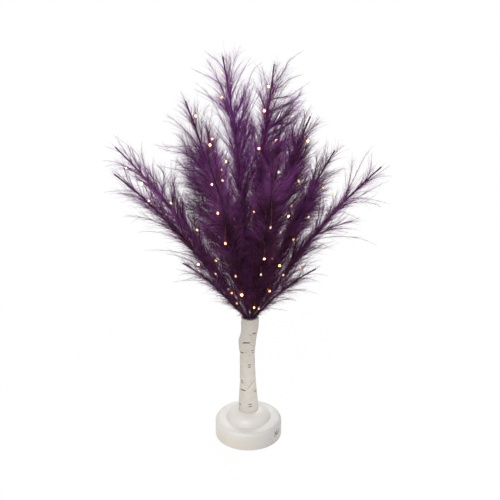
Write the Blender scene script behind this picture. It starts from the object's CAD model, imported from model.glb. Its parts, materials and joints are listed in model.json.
"""Feather tree lamp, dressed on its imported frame.

Metres, +Z up, the front towards -Y. Each plume is a stem with drooping fronds, and every frond
carries fine hairs. Lights hang among them on thin wire, over a birch trunk and a round base.
"""
import json
import math
import random

import bpy
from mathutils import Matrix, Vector, noise
from mathutils.bvhtree import BVHTree

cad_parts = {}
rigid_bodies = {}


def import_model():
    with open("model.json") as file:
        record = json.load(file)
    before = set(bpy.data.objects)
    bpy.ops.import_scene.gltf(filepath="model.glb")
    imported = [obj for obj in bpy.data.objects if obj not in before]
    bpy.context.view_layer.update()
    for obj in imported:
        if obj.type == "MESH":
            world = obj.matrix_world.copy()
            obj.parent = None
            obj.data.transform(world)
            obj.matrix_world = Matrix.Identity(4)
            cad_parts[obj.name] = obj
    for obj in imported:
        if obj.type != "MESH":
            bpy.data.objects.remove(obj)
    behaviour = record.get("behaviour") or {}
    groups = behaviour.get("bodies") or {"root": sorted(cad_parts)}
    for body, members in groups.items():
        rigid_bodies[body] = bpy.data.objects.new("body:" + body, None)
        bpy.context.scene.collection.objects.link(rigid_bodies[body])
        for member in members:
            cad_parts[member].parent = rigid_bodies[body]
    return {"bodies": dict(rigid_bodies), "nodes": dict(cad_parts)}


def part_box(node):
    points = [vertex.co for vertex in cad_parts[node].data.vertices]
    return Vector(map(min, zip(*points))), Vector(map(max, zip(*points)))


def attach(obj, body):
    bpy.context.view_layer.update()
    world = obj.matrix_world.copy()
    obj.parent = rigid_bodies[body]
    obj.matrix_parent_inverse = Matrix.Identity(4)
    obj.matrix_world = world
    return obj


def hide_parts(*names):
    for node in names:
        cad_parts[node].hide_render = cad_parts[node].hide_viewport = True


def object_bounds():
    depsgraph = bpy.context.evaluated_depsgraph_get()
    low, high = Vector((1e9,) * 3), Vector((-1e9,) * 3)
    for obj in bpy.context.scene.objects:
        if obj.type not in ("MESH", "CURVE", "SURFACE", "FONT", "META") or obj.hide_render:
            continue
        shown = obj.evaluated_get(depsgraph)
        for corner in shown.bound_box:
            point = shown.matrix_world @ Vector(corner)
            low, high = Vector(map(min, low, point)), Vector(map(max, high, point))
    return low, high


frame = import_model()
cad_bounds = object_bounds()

bl_info = {
    "name": "Feather tree lamp",
    "version": (1, 0, 0),
    "blender": (4, 5, 0),
    "location": "View3D > Sidebar > Feather lamp",
    "description": "Builds a feather tree lamp on its solid frame",
    "category": "Object",
}

UP = Vector((0, 0, 1))
MM = 0.001

# The photograph's view: focal length and frame in pixels, and the lens on the default sensor
FRAME_SIDE = 500
FOCAL_PIXELS = 869.0
SENSOR_WIDTH = 36.0
CAMERA_PLACE = Vector((0.0025, -1.186, 0.794))
CAMERA_PITCH = math.radians(21.97)
VIEW_FORWARD = Vector((0, math.cos(CAMERA_PITCH), -math.sin(CAMERA_PITCH)))
VIEW_UPWARD = Vector((0, math.sin(CAMERA_PITCH), math.cos(CAMERA_PITCH)))

# The stage: half the floor's side, where the floor turns plain white, and each lamp's place, the height
# that it looks at and its side
FLOOR_REACH = 20.0
FLOOR_WHITENS = (0.3, 1.1)
STAGE_LAMPS = {
    "key": ((-0.40, -1.4, 1.5), 0.32, 0.9),
    "fill": ((1.3, -0.7, 0.9), 0.30, 1.1),
    "rim": ((0.35, 1.3, 1.3), 0.40, 0.9),
}

# The stems' line, in the part's own values
STRAIGHT_SHARE = 0.35
TRUNK_TOP_SHIFT = 2.2 * MM
PIVOT_HEIGHT = 207.0 * MM
RING_RADIUS = 7.2 * MM
RING_FIRST_ANGLE = 38.8
RING_STEP = 36.0
INNER_RADIUS = 3.4 * MM
PLUME_REACH = 400.0 * MM
STEM_TAIL = 6.0 * MM
STEM_SLACK = 1.5 * MM
PLUME_HALF_WIDTH = 25.0 * MM

# Each plume: radius and angle of its root, azimuth, lean at the root and bend in degrees, share of
# the longest reach, share of the half width, tone of its dye, and the shares of its length at
# which lights sit (negative on the side that faces the sky)
PLUMES = {
    "right_back": (RING_RADIUS, 0, 42, 33.0, 12, 0.725, 1.00, 0.45, (0.15, -0.31, 0.44, -0.60, 0.78)),
    "back_right": (RING_RADIUS, 1, 75, 33.5, 12, 0.820, 0.92, 0.40, (-0.24, -0.50, -0.66, -0.77, 0.85)),
    "back_left": (RING_RADIUS, 2, 111, 33.5, 12, 0.805, 0.92, 0.40, (-0.23, 0.37, 0.53, -0.70, -0.88)),
    "left_back": (RING_RADIUS, 3, 164, 34.5, 14, 0.815, 1.00, 0.70, (0.15, -0.36, 0.50, -0.70, -0.88)),
    "left_low": (RING_RADIUS, 4, -162, 33.0, 14, 0.780, 1.00, 0.70, (-0.15, 0.34, -0.52, -0.70, -0.86)),
    "front_left_low": (RING_RADIUS, 5, -134, 40.5, 12, 0.455, 0.64, 0.85, (-0.20, -0.38, -0.60, -0.82)),
    "front_left": (RING_RADIUS, 6, -111, 23.0, 10, 0.805, 0.80, 0.55, (0.18, -0.32, 0.55, 0.73, 0.88)),
    "front_right": (RING_RADIUS, 7, -75, 22.0, 10, 0.805, 0.84, 0.25, (0.09, -0.33, 0.44, -0.64, 0.93)),
    "front_right_low": (RING_RADIUS, 8, -50, 43.0, 12, 0.460, 0.76, 0.80, (-0.12, -0.36, -0.60, -0.82)),
    "right_low": (RING_RADIUS, 9, -6, 32.0, 14, 0.765, 1.00, 0.70, (-0.16, 0.30, -0.45, -0.58, -0.74)),
    "back_left_high": (INNER_RADIUS, 132, 132, 21.0, 12, 0.860, 1.00, 0.55, (-0.23, 0.40, 0.60, 0.76, -0.90)),
    "crown_left": (INNER_RADIUS, 215, -167, 2.5, 8, 1.000, 0.79, 0.85, (0.21, -0.40, 0.62, 0.85, -0.93)),
    "crown_right": (INNER_RADIUS, 50, 60, 7.5, 8, 0.955, 0.75, 0.45, (-0.22, 0.43, 0.67, 0.81, -0.90)),
    "right_high": (INNER_RADIUS, -30, -13, 11.5, 10, 0.825, 0.80, 0.28, (0.31, -0.53, 0.58, 0.70, -0.88)),
}

# Long strands that stand out: for each plume, the pixels that each runs through
STRANDS = {
    "right_back": (
        ((304, 193), (315, 173), (321, 160), (324, 146)), ((308, 186), (317, 171), (332, 152)),
        ((284, 230), (292, 206), (304, 184), (312, 160)), ((276, 250), (286, 232), (296, 214), (300, 196)),
    ),
    "left_back": (
        ((147, 168), (138, 155), (117, 137)), ((135, 160), (121, 153), (105, 146)),
        ((200, 243), (192, 226), (186, 208), (178, 190)), ((190, 232), (180, 214), (170, 196)),
    ),
    "left_low": (
        ((161, 190), (157, 182), (144, 178), (110, 176)), ((168, 214), (157, 210), (129, 196)),
        ((183, 232), (173, 226), (152, 212)), ((161, 202), (143, 184), (127, 172)),
        ((205, 262), (194, 250), (182, 243), (168, 238)),
    ),
    "front_left_low": (
        ((218, 275), (199, 267), (182, 264)),
    ),
    "front_right_low": (
        ((271, 293), (290, 287), (303, 279)), ((258, 304), (263, 308), (277, 309), (288, 311)),
        ((258, 300), (276, 274), (297, 258), (321, 246)), ((262, 297), (284, 276), (300, 264), (315, 257)),
    ),
    "right_low": (
        ((333, 208), (345, 196), (356, 174), (365, 156), (374, 145)),
        ((345, 200), (360, 187), (378, 174), (396, 161)), ((335, 206), (350, 199), (369, 199), (390, 204)),
        ((322, 217), (336, 210), (366, 222)), ((290, 246), (304, 239), (320, 243), (335, 251)),
        ((285, 262), (296, 250), (306, 240), (316, 226)),
    ),
    "back_left_high": (
        ((192, 124), (188, 110), (181, 98)), ((181, 153), (167, 147), (153, 144)),
        ((194, 129), (195, 110), (194, 96)), ((216, 222), (206, 204), (198, 188), (188, 172)),
        ((210, 210), (199, 196), (186, 184)), ((203, 172), (194, 156), (188, 142), (184, 128)),
        ((206, 168), (200, 150), (197, 135), (196, 118)), ((196, 178), (180, 170), (160, 166)),
        ((200, 192), (184, 184), (166, 182)), ((190, 162), (176, 152), (158, 148)),
    ),
    "crown_left": (
        ((231, 90), (211, 78), (190, 68)), ((231, 88), (227, 74), (216, 60), (204, 51)),
        ((234, 80), (231, 61), (227, 55)), ((238, 159), (221, 138), (203, 120)),
        ((228, 116), (210, 98), (194, 89)), ((236, 100), (240, 76), (251, 57)),
        ((238, 120), (245, 95), (252, 72), (262, 62)), ((240, 130), (250, 106), (258, 88)),
    ),
    "crown_right": (
        ((280, 90), (284, 71), (289, 61), (304, 50)), ((279, 95), (284, 84), (292, 78), (304, 74)),
        ((283, 101), (289, 96), (297, 91), (311, 81)), ((291, 116), (295, 110), (306, 98)),
        ((270, 122), (262, 100), (254, 84)), ((272, 112), (266, 88), (262, 66)),
    ),
    "right_high": (
        ((284, 176), (292, 156), (298, 142), (304, 126)), ((280, 186), (283, 160), (285, 140), (288, 122)),
        ((292, 150), (299, 130), (304, 118), (312, 104)), ((277, 214), (287, 200), (296, 190), (304, 178)),
        ((283, 182), (289, 160), (295, 145), (298, 130)), ((281, 172), (285, 152), (291, 138), (294, 126)),
    ),
}

# Full fronds that close the gaps between the plumes, given like the strands
FULL_FRONDS = {
    "right_back": (
        ((286, 240), (300, 222), (312, 206)), ((280, 255), (296, 236), (306, 224)),
        ((292, 215), (306, 200), (316, 186)), ((292, 230), (303, 212), (311, 196)),
        ((288, 245), (302, 228), (314, 218)), ((298, 218), (310, 203), (322, 192)),
        ((302, 205), (314, 194), (325, 183)), ((310, 190), (320, 180), (327, 171)),
        ((302, 210), (312, 204), (322, 198)), ((300, 215), (314, 211), (325, 208)),
        ((300, 222), (305, 204), (307, 187)), ((296, 236), (306, 222), (314, 213)),
        ((308, 200), (318, 194), (328, 188)), ((302, 214), (312, 208), (324, 201)),
        ((264, 284), (276, 268), (288, 258)), ((262, 300), (270, 287), (278, 274), (286, 262)),
        ((276, 276), (285, 262), (292, 250)), ((298, 228), (308, 213), (319, 200)),
    ),
    "left_back": (
        ((170, 190), (164, 176), (158, 165)), ((180, 205), (172, 190), (165, 177)),
        ((231, 286), (218, 264), (209, 250)), ((212, 262), (200, 246), (190, 230)),
        ((206, 252), (194, 236), (184, 218)), ((196, 236), (184, 220), (174, 206)),
        ((244, 308), (240, 292), (234, 276)), ((162, 188), (151, 175), (140, 163)),
        ((222, 272), (212, 254), (207, 236)), ((226, 280), (214, 264), (205, 252)),
        ((238, 298), (229, 279), (220, 266)), ((216, 262), (208, 246), (205, 234)),
        ((190, 222), (182, 204), (176, 188)), ((188, 226), (179, 208), (174, 196)),
    ),
    "left_low": (
        ((243, 306), (238, 294), (234, 281)), ((244, 307), (238, 298), (232, 286), (226, 274)),
    ),
    "front_left": (
        ((240, 296), (231, 275), (221, 256)), ((236, 284), (224, 264), (214, 248)),
        ((229, 256), (213, 238), (204, 223)), ((223, 234), (207, 217), (199, 205)),
        ((247, 310), (241, 297), (234, 283)), ((246, 304), (241, 290), (237, 274)),
        ((247, 308), (238, 298), (231, 286)), ((232, 270), (219, 254), (208, 240)),
        ((228, 258), (216, 246), (206, 232)), ((236, 284), (225, 268), (217, 254)),
        ((242, 303), (234, 288), (226, 274)), ((249, 313), (249, 305), (247, 296)),
    ),
    "front_right": (
        ((256, 292), (266, 272), (275, 256)), ((260, 280), (272, 262), (281, 249)),
        ((254, 310), (261, 298), (268, 285)), ((255, 304), (262, 290), (267, 275)),
        ((256, 308), (264, 300), (271, 290)), ((262, 262), (270, 246), (277, 236)),
        ((261, 303), (268, 290), (275, 278)), ((251, 313), (250, 306), (251, 298)),
    ),
    "front_right_low": (
        ((262, 303), (270, 297), (280, 288)), ((276, 290), (290, 275), (303, 268)),
    ),
    "right_low": (
        ((290, 258), (304, 240), (316, 228)), ((285, 268), (300, 254), (312, 244)),
        ((258, 306), (263, 296), (268, 284)), ((288, 256), (302, 247), (316, 248)),
        ((262, 292), (272, 278), (281, 268)), ((259, 306), (266, 294), (274, 282), (283, 270)),
        ((264, 302), (273, 293), (284, 281), (294, 270)), ((270, 296), (280, 286), (292, 276)),
        ((284, 266), (298, 254), (312, 247)), ((292, 258), (306, 250), (322, 247)),
    ),
    "back_left_high": (
        ((222, 235), (207, 215), (196, 197)), ((226, 250), (208, 235), (195, 221)),
        ((212, 205), (199, 185), (190, 170)), ((205, 190), (196, 172), (188, 158)),
        ((222, 225), (219, 200), (214, 176)), ((214, 240), (200, 228), (187, 215)),
        ((208, 222), (195, 208), (183, 197)), ((216, 226), (204, 206), (192, 186), (184, 167)),
        ((212, 210), (200, 190), (188, 170), (181, 155)), ((220, 240), (208, 222), (196, 204), (187, 189)),
        ((209, 196), (196, 176), (185, 159)), ((206, 180), (194, 164), (183, 151)),
        ((222, 248), (208, 232), (198, 218)), ((203, 170), (190, 156), (179, 149)),
        ((224, 262), (212, 244), (203, 227)), ((218, 250), (206, 232), (199, 213)),
        ((208, 200), (194, 182), (180, 170)), ((200, 184), (186, 168), (176, 160)),
        ((212, 214), (196, 202), (182, 193)), ((232, 240), (229, 215), (227, 190)),
        ((228, 225), (226, 200), (223, 180)), ((198, 165), (188, 148), (178, 133)),
        ((202, 172), (190, 155), (181, 141)), ((214, 226), (196, 212), (176, 202)),
        ((218, 236), (200, 222), (184, 212)),
    ),
    "crown_left": (
        ((239, 165), (245, 135), (248, 105)), ((241, 185), (250, 155), (253, 128)),
        ((237, 140), (243, 112), (246, 92)), ((235, 120), (226, 105), (217, 97)),
        ((238, 150), (246, 126), (251, 104)), ((237, 135), (245, 110), (250, 90)),
        ((236, 120), (242, 100), (245, 84)), ((240, 175), (250, 145), (255, 118)),
        ((241, 160), (249, 132), (253, 111)), ((242, 200), (247, 182), (249, 165)),
    ),
    "crown_right": (
        ((270, 165), (265, 140), (261, 114)), ((274, 140), (269, 118), (264, 97)),
        ((268, 190), (260, 165), (256, 142)), ((279, 130), (288, 114), (295, 103)),
        ((276, 160), (287, 140), (293, 124)), ((281, 115), (292, 102), (302, 93)),
        ((278, 140), (292, 122), (303, 109)), ((276, 165), (290, 145), (302, 124)),
        ((277, 150), (284, 128), (291, 108)), ((278, 135), (286, 115), (294, 98)),
        ((275, 170), (284, 146), (292, 126)), ((272, 150), (262, 128), (256, 111)),
        ((262, 205), (257, 185), (252, 168)), ((258, 190), (252, 170), (250, 150)),
    ),
    "right_high": (
        ((276, 210), (289, 188), (296, 168)), ((279, 190), (293, 165), (300, 142)),
        ((283, 170), (296, 148), (304, 130)), ((272, 235), (288, 214), (300, 197)),
        ((281, 185), (296, 158), (305, 132)), ((279, 200), (297, 178), (307, 157)),
        ((276, 220), (295, 200), (307, 182)), ((288, 170), (299, 155), (308, 143)),
        ((284, 190), (298, 172), (309, 160)), ((281, 205), (298, 190), (310, 179)),
        ((258, 286), (271, 266), (283, 250)), ((290, 200), (302, 184), (309, 171)),
        ((290, 160), (299, 140), (303, 123)), ((284, 150), (292, 133), (297, 119)),
        ((254, 304), (264, 288), (272, 274)), ((286, 180), (300, 165), (309, 150)),
        ((288, 172), (302, 156), (310, 140)), ((284, 192), (300, 176), (311, 164)),
    ),
}

# Share of the hair that a plume keeps, where it is not full
HAIR_SHARES = {
    "left_back": 0.56, "left_low": 0.51, "front_left_low": 0.42, "front_right_low": 0.40, "right_low": 0.49,
    "right_back": 0.88, "front_left": 0.80, "crown_left": 0.90, "crown_right": 0.90, "back_left_high": 0.82,
    "right_high": 0.94,
}

# How much wider the fronds of an airy plume spread, and how much longer their hair is
AIRY_SPREAD = {"left_back": 1.30, "left_low": 1.35, "right_low": 1.40, "right_back": 1.12}
AIRY_HAIR = 1.18

# How much thinner the hair gets to a plume's tip, from this share of its length on
THIN_FROM = 0.50
THINNING = 0.6
TIP_THINNING = {"front_left": 1.0, "front_right_low": 0.85, "crown_left": 0.85, "crown_right": 0.85}

# The hair right on the stem: where its lines start, how far they close in to the tip, and how dense the
# hair is at the root and at a plume's tip, below zero where the stem is bare before its tip
CORE_START = 0.012
CORE_CLOSING = 0.8
STEM_HAIR = 1.15
TIP_STEM_HAIR = {"front_left": -0.35, "crown_left": -0.3, "crown_right": -0.3}
STEM_POINTS = 26

# A sort of frond: girth of its shaft, the share of its length over which its hair shortens to the tip, and
# the density of its hair at the root and at the tip
CORE_SORT = (0.55, 0.42)
FROND_SORT = (0.85, 0.75, 1.0, 0.35)
WISP_SORT = (0.75, 0.75, 0.45, 0.22)
TUFT_SORT = (0.5, 0.9, 0.9, 0.7)
STRAND_SORT = (1.15, 0.95, 0.8, 0.4)
FULL_SORT = (0.7, 0.6, 1.2, 0.6)

# Fronds and wisps: how much wider than set they open, and their hair's length as shares of the longest
FROND_SPLAY = 1.0
FROND_HAIR = (0.50, 0.85)
WISP_SPLAY = 1.5
WISP_HAIR = (0.35, 0.60)
# The hair's length on a strand, a full frond and a tuft, as shares of the longest or of the tuft's length
STRAND_HAIR = 0.42
FULL_HAIR = 0.72
TUFT_HAIR = 0.6

# How a plume's size and number of fronds go with its length
SIZE_POWER = 0.6
LEAST_FULLNESS = 0.35
GROWN_FULLNESS = 0.65

# A frond's root, turn, length, opening, curl and sag: shares of the plume's length, the turn from one to
# the next in radians, and the ranges of chance
ROOT_FROM = 0.015
ROOT_RANGE = 0.87
TURN_STEP = 2.399963
TURN_CHANCE = 0.35
LENGTH_CHANCE = (0.80, 1.20)
LENGTH_TO_TIP = 1.06
OPENING_CHANCE = (0.6, 1.3)
CURL_CHANCE = (0.3, 1.6)
ROOT_CURL = 0.7
TIP_CURL = 0.6
CURL_POWER = 1.7
SAG_CHANCE = (0.02, 0.20)

# Frond length as a share of the plume's, by where it leaves the stem
FROND_SHARES = (
    (0.0, 0.16), (0.15, 0.24), (0.32, 0.28), (0.55, 0.29), (0.72, 0.26), (0.88, 0.13), (1.0, 0.05),
)
FROND_POINTS = 12

# A plume's skirt of short tufts: where on its stem it stands, and each tuft's length, opening and sag
SKIRT_SHARES = (0.012, 0.075)
TUFT_LENGTH = (0.6, 1.1)
TUFT_OPENING = (0.4, 0.8)
TUFT_SAG = 0.15

# Where an aimed frond may leave the stem, in hundredths, and how far it hugs the stem below that
AIMED_ROOTS = range(2, 97)
AIMED_FIRST = 0.02
AIMED_TAIL = 0.05

# How a line's girth and hair change along it: the girth's power and least value, the hair's share at the
# root, what it gains over the first part, its fall at the tip and its least value
GIRTH_POWER = 0.8
LEAST_GIRTH = 0.12
ROOT_HAIR = 0.70
GAINED_HAIR = 0.30
GAIN_SHARE = 0.25
TIP_POWER = 0.75
LEAST_HAIR = 0.10

# How far the hair may pass the frame's box, and a hair's set length as a share of the room round it
PAST_FRAME = 12 * MM
ROOM_SHARE = 0.65
# The hair by the trunk's mouth, and how it grows away from there on outer and inner plumes
MOUTH_HAIR = 9 * MM
OUTER_GROWTH = 0.26
INNER_GROWTH = 0.50

# How far apart the seeds of the plumes' lines lie from one setting to the next, and of the trees from one
# plume to the next
LINE_SEED_STEP = 101
TREE_SEED_STEP = 10

# A hair of unit length, bent forward, its thinning to the tip, its greatest turn off its side in radians, and
# the points along a tiny, a short and a long one; the last one joined is the first to be picked
HAIR_BEND = ((0.0, 0.0, 0.0), (0.20, 0.0, 0.50), (0.58, 0.0, 0.86))
HAIR_BEND_POINTS = 16
HAIR_TAPER = 0.8
HAIR_TURN = 1.15
HAIR_POINTS = (2, 3, 4)
# Shade of a frond's shaft, and the sides of shafts, hairs, wires, drops and coils
SHAFT_SHADE = 0.1
SHAFT_SIDES = 4
HAIR_SIDES = 3
WIRE_SIDES = 6
DROP_SIDES = 12
COIL_SIDES = 7
COIL_POINTS = 22

# The dye: where the crown's heart is and how far it reaches, and over which distances from the trunk's
# mouth the dye gets brighter
HEART_PLACE = (0.005, -0.03, 0.36)
HEART_REACH = (50 * MM, 140 * MM)
DYE_REACH = (60 * MM, 340 * MM)

# A plume's outline in the part's own values, the light string's start, its distance beside the stem and
# the size of a light's bead there
OUTLINE_SHARES = (
    (0.04, 0.10), (0.15, 0.28), (0.35, 0.70), (0.55, 1.00), (0.75, 0.88), (0.90, 0.50), (1.00, 0.09),
)
LIGHT_START = 8.0 * MM
WIRE_BESIDE = 1.65 * MM
BEAD_DIAMETER = 2.8 * MM
WIRE_STEPS = 8
# A drop's points, its form's power and least girth, and how few of the drops glow strongly
DROP_POINTS = 11
DROP_POWER = 0.62
DROP_LEAST = 0.12
GLOW_POWER = 3.0
LEAST_GLOW = 0.015

# Marks in the bark: pixel, half width in pixels and strength
MARKS = (
    (254.5, 333.5, 1.9, 1.0), (250.5, 335.5, 1.5, 0.45), (246.7, 343.0, 2.9, 1.0), (241.8, 352.5, 1.9, 1.0),
    (245.6, 352.8, 1.8, 0.4), (252.5, 350.5, 1.6, 0.6), (252.9, 352.6, 1.6, 0.6), (249.5, 365.0, 1.6, 0.7),
    (249.5, 367.1, 1.6, 0.7), (241.6, 380.4, 1.5, 0.7), (242.0, 382.6, 1.5, 0.7), (242.8, 390.0, 2.6, 1.0),
    (240.9, 366.8, 1.0, 0.6), (255.0, 373.0, 0.9, 0.6), (250.8, 344.9, 1.0, 0.5), (255.2, 391.0, 1.2, 0.8),
    (239.8, 404.0, 1.4, 1.0), (250.2, 404.4, 2.2, 0.6), (250.2, 406.6, 2.2, 0.6), (243.2, 343.4, 1.7, 0.5),
    (249.8, 355.8, 1.2, 0.45), (247.6, 362.0, 1.0, 0.4), (253.6, 345.6, 1.2, 0.45),
)
MARK_STRETCH = 1.3
MARKS_LOST = 2
# A mark's reach up and down in half heights and aside in half widths, and where it starts to fade aside
MARK_RISE = 2.5
MARK_ASIDE = 1.6
MARK_FULL = 0.4
MARK_FADE = 0.9
# Marks round the back: how many, over which turns in half circles, how far in from the trunk's ends, and
# their half widths and strengths
HIDDEN_MARKS = 26
HIDDEN_SEED = 5
HIDDEN_TURNS = (0.12, 0.88)
HIDDEN_INSETS = (6 * MM, 12 * MM)
HIDDEN_HALVES = (1.6 * MM, 4.8 * MM)
HIDDEN_STRENGTHS = (0.5, 0.7, 1.0)
CREASE = ((255.4, 379.8), (247.6, 389.2))
CREASE_STEPS = 12
CREASE_TINT = 0.42
# The bark's lumps and level bands per metre, the bands' share of the relief, and the folds by its mouth:
# how far down they reach, their depth, and how many go round and up
LUMPS = 95.0
BANDS = (90.0, 620.0)
BAND_SHARE = 0.45
FOLD_REACH = 30 * MM
FOLD_DEPTH = 1.1 * MM
FOLDS_ROUND = 4.5
FOLDS_UP = 30.0
FOLD_ROW = 3.1

# The trunk's wall, floor and bore for the leads, the room round the holder and at the trunk's ends, how
# many rows of the bark the hollow skips, and from how far off rays feel for the trunk
TRUNK_WALL = 3.0 * MM
TRUNK_FLOOR = 9.0 * MM
LEAD_BORE = 2.5 * MM
HOLDER_ROOM = 0.1 * MM
END_ROOM = 0.02 * MM
HOLLOW_SKIP = 8
RAY_START = 100 * MM
RING_RAY_START = 80 * MM

# The base's upper tone by height, its cool tone and rubbed patch by the distance towards one side, the bark's
# grooves and dull upper part by height, and the bands of a cell's sleeve by distance from its middle
SIDE_WAY = (0.93, -0.36, 0.0)
UPPER_HEIGHTS = (14 * MM, 26 * MM)
COOL_SIDE = (0.0, 50 * MM)
WORN_SIDE = (40 * MM, 51 * MM)
GROOVE_HEIGHTS = (165 * MM, 200 * MM)
DULL_HEIGHTS = (90 * MM, 200 * MM)
SLEEVE_END = 22.2 * MM
SLEEVE_BAND = 16.5 * MM

# Fine-grained finishes: light and dark colour, grain, roughness, bump and the shader's other values
MOULDED = {
    "plated_steel": ((0.75, 0.74, 0.72), (0.55, 0.54, 0.53), 1400.0, (0.2, 0.38), 0.01 * MM,
                     {"Metallic": 1.0}),
    "spring_steel": ((0.78, 0.77, 0.74), (0.6, 0.58, 0.55), 1600.0, (0.18, 0.3), 0.004 * MM,
                     {"Metallic": 1.0}),
    "copper_wire": ((0.36, 0.15, 0.10), (0.20, 0.08, 0.06), 1500.0, (0.22, 0.36), 0.004 * MM,
                    {"Metallic": 1.0}),
    "black_moulding": ((0.035, 0.033, 0.034), (0.015, 0.014, 0.015), 1300.0, (0.4, 0.6), 0.04 * MM, {}),
    "grey_moulding": ((0.36, 0.35, 0.35), (0.27, 0.26, 0.26), 1300.0, (0.4, 0.6), 0.04 * MM, {}),
    "foot_rubber": ((0.05, 0.05, 0.05), (0.02, 0.02, 0.02), 1500.0, (0.75, 0.92), 0.08 * MM, {}),
    "board_laminate": ((0.03, 0.20, 0.09), (0.02, 0.12, 0.06), 800.0, (0.25, 0.4), 0.02 * MM, {}),
    "holder_plastic": ((0.07, 0.030, 0.062), (0.030, 0.012, 0.028), 1000.0, (0.5, 0.7), 0.04 * MM, {}),
    "lead_sleeve": ((0.34, 0.05, 0.04), (0.22, 0.03, 0.03), 900.0, (0.4, 0.55), 0.01 * MM, {}),
    "stem_lacquer": ((0.040, 0.012, 0.034), (0.016, 0.005, 0.015), 1200.0, (0.5, 0.7), 0.02 * MM,
                     {"Specular_IOR_Level": 0.12}),
}

# The carried-over nodes that have each finish; "stem_" stands for the stem of every plume
FITTINGS = {
    "plated_steel": ("contact_plates", "floor_screws", "trunk_screws"),
    "black_moulding": ("timer_chip", "switch_body"),
    "grey_moulding": ("switch_knob",),
    "foot_rubber": ("foot_pads",),
    "board_laminate": ("timer_board",),
    "holder_plastic": ("stem_holder",),
    "lead_sleeve": ("light_harness", "inner_leads"),
    "stem_lacquer": tuple("stem_" + name for name in PLUMES),
}
BASE_NODES = ("base_shell", "base_floor", "battery_door")

# The battery springs' turns, their wire, and how far in from the contact plates they start
SPRING_TURNS = 5.0
SPRING_WIRE = 0.32 * MM
SPRING_INSET = 0.3 * MM


def plain(name, description, default):
    """A length in metres that a user may change."""
    return bpy.props.FloatProperty(name=name, description=description, default=default, unit="LENGTH",
                                   subtype="DISTANCE", precision=5, min=0.0)


def share(name, description, default):
    """A share from 0 to 1 that a user may change."""
    return bpy.props.FloatProperty(name=name, description=description, default=default, subtype="FACTOR",
                                   min=0.0, max=1.0)


def tint(name, description, default):
    """A colour that a user may change."""
    return bpy.props.FloatVectorProperty(name=name, description=description, default=default, subtype="COLOR",
                                         size=3, min=0.0, max=1.0)


def count(name, description, default):
    """A whole number that a user may change."""
    return bpy.props.IntProperty(name=name, description=description, default=default, min=0)


def degrees(name, description, default):
    """An angle in degrees that a user may change."""
    return bpy.props.FloatProperty(name=name, description=description, default=math.radians(default),
                                   subtype="ANGLE")


def lamp_power(name, description, default):
    """A lamp's power that a user may change."""
    return bpy.props.FloatProperty(name=name, description=description, default=default, unit="POWER")


class PlumeSettings(bpy.types.PropertyGroup):
    core_count: count("Core lines", "Hairy lines beside each stem", 3)
    frond_count: count("Fronds", "Full fronds on the longest plume", 22)
    wisp_count: count("Wisps", "Thin fronds on the longest plume", 14)
    hair_length: plain("Hair length", "Longest hair on a frond", 45 * MM)
    hair_spacing: plain("Hair spacing", "Least distance between hairs along a frond", 0.29 * MM)
    short_hair: plain("Short hair", "Length under which a hair bends less", 20 * MM)
    hair_girth: share("Hair girth", "Radius of a hair as a share of its length", 0.0085)
    shaft_radius: plain("Shaft radius", "Radius of a frond's shaft at its root", 0.45 * MM)
    opening: degrees("Opening", "Angle at which a frond leaves the stem", 15)
    curl: degrees("Curl", "Angle by which a frond turns outwards", 24)
    core_offset: plain("Core offset", "Distance of the hairy lines from the stem", 1.6 * MM)
    seed: count("Seed", "Start of the random choices", 7)
    skirt_count: count("Skirt", "Short tufts round each root", 12)
    skirt_length: plain("Skirt length", "Length of a tuft at the root", 13 * MM)
    deep_dye: tint("Deep dye", "Colour in the heart of the crown", (0.028, 0.004, 0.010))
    dye: tint("Dye", "Main colour of the fibres", (0.092, 0.018, 0.062))
    bright_dye: tint("Bright dye", "Colour of the hair tips", (0.410, 0.110, 0.480))


class LightSettings(bpy.types.PropertyGroup):
    wire_radius: plain("Wire radius", "Radius of the lamp wire", 0.24 * MM)
    drop_radius: plain("Drop radius", "Radius of a resin drop", 1.3 * MM)
    drop_length: plain("Drop length", "Length of a resin drop", 5.6 * MM)
    glow: tint("Glow", "Colour of the light", (1.0, 0.38, 0.11))
    seed: count("Seed", "Start of the random choices", 3)
    strength: bpy.props.FloatProperty(name="Strength", description="Brightness of a drop", default=50.0,
                                      min=0.0)


class TrunkSettings(bpy.types.PropertyGroup):
    rows: count("Rows", "Rings up the bark", 340)
    columns: count("Columns", "Points round each ring", 128)
    relief: plain("Relief", "Depth of the bark's lumps", 0.35 * MM)
    mark_depth: plain("Mark depth", "Depth of a dark mark", 0.30 * MM)
    mark_height: plain("Mark height", "Half height of a dark mark", 0.88 * MM)
    crease_width: plain("Crease width", "Half width of the slanting crease", 1.05 * MM)
    crease_depth: plain("Crease depth", "Depth of the slanting crease", 0.80 * MM)
    bark: tint("Bark", "Colour of the bark", (0.610, 0.578, 0.535))
    mark: tint("Marks", "Colour of the marks", (0.028, 0.020, 0.017))


class BaseSettings(bpy.types.PropertyGroup):
    shell: tint("Shell", "Colour of the moulded base", (0.690, 0.640, 0.565))
    upper: tint("Upper part", "Colour of the collar and the top", (0.690, 0.662, 0.625))
    cool: tint("Cool side", "Colour of the base's right side", (0.430, 0.422, 0.425))
    worn: tint("Worn", "Colour of the rubbed patches", (0.330, 0.280, 0.270))


class StageSettings(bpy.types.PropertyGroup):
    key: lamp_power("Key", "Power of the main lamp", 15.0)
    fill: lamp_power("Fill", "Power of the side lamp", 3.5)
    rim: lamp_power("Rim", "Power of the lamp behind", 9.0)
    sky: share("Sky", "Strength of the light from all round", 0.70)
    cover: share("Floor cover", "How far the floor hides its shadow from the camera", 0.95)


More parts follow.
